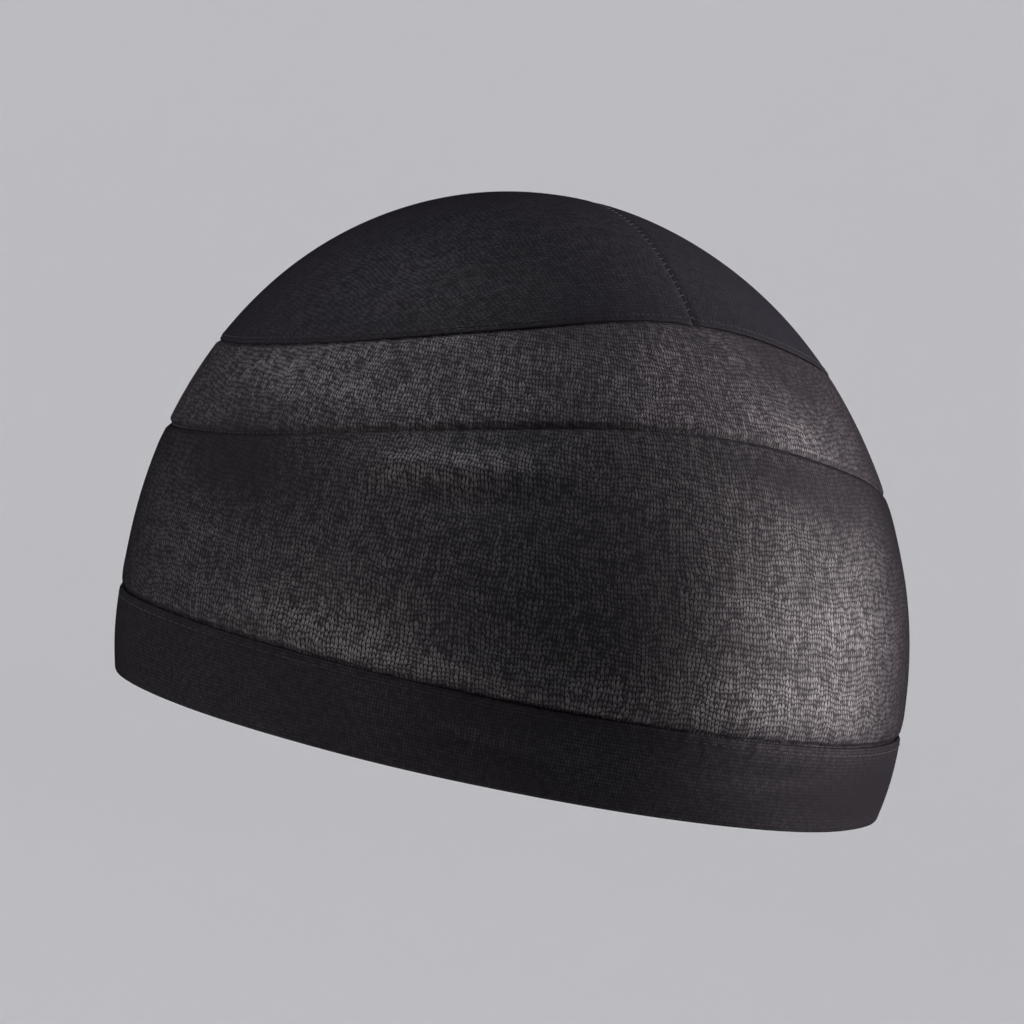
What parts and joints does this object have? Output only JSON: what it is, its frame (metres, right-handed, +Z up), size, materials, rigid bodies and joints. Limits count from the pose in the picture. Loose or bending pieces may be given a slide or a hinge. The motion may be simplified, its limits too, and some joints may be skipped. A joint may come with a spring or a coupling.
{
  "type": "stocking wave cap",
  "caption": "Close-fitting stretch-knit stocking cap in its worn form: a hollow dome of knit panels with cross seams and a smooth doubled hem band round the head opening.",
  "frame": {"origin": "middle of the head opening, in the plane of the rim", "axes": "+Z up to the crown, front of the cap towards -Y, +X to the wearer's left"},
  "size_m": [0.1562, 0.2013, 0.113],
  "materials": {
    "hem_band": "smooth doubled black stretch fabric",
    "body_knit": "fine black stretch knit with a soft sheen",
    "sheer_knit": "sheerer black stretch knit with a grey speckle",
    "crown_knit": "fine black stretch knit, matt"
  },
  "bodies": {
    "root": {"rim_band": "hem_band", "body_panel": "body_knit", "upper_panel": "sheer_knit", "crown_right": "crown_knit", "crown_left": "crown_knit"}
  },
  "joints": []
}
